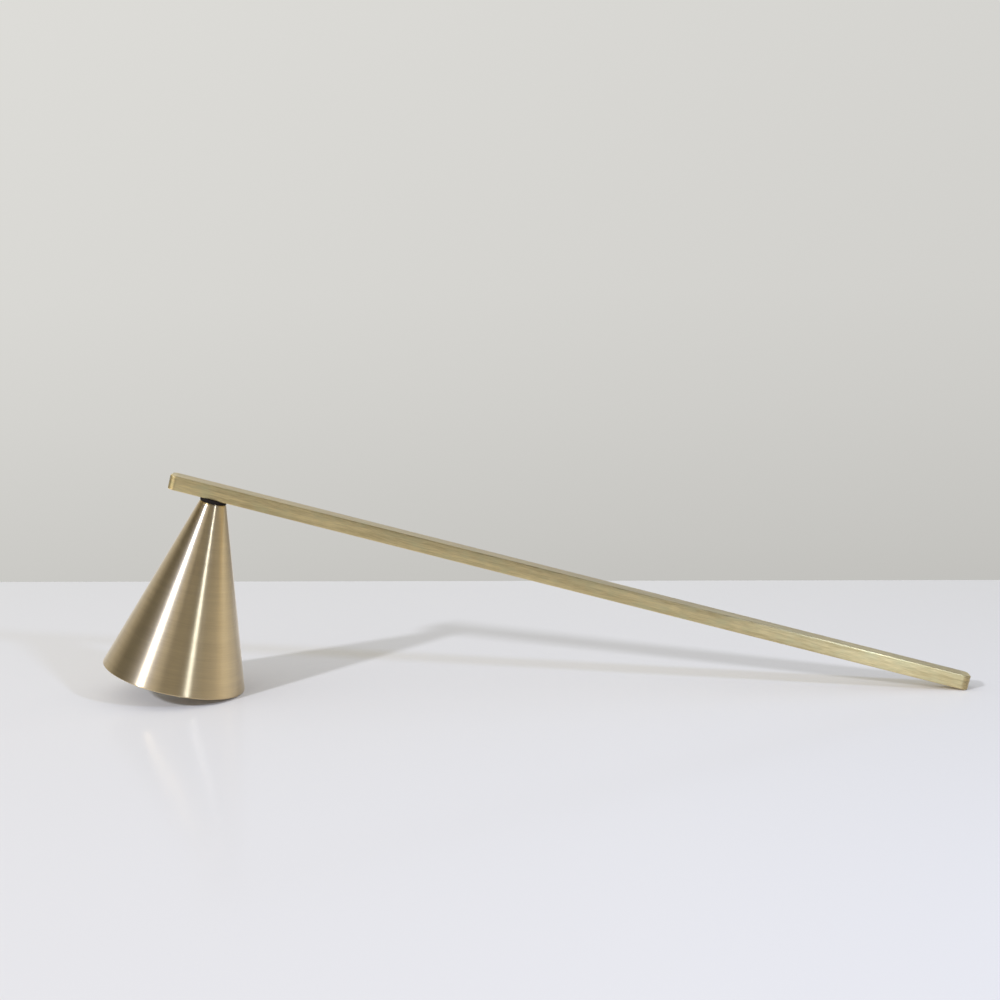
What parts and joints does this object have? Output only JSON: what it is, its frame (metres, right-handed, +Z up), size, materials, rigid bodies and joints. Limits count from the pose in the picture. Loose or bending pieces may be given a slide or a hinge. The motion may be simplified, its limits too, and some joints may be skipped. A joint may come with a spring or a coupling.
{
  "type": "candle snuffer",
  "caption": "Candle snuffer: a flat bar handle with a conical bell under one end, held square to it by a screw through a soft washer.",
  "frame": {"origin": "on the table under the middle of the part's outline, as it rests on the rim of its bell and on the lower edge of the handle's free end", "axes": "+X along the table towards the free end of the handle, +Y across the handle, +Z up"},
  "size_m": [0.2384, 0.0398, 0.0618],
  "materials": {
    "handle_brass": "brushed along the bar, lacquered",
    "bell_brass": "finely turned, satin, lacquered",
    "black_rubber": "matte black",
    "plated_steel": "zinc plated"
  },
  "bodies": {
    "root": {"handle": "handle_brass", "spacer_washer": "black_rubber", "bell": "bell_brass", "plain_washer": "plated_steel", "lock_washer": "plated_steel", "fixing_screw": "plated_steel"}
  },
  "joints": []
}
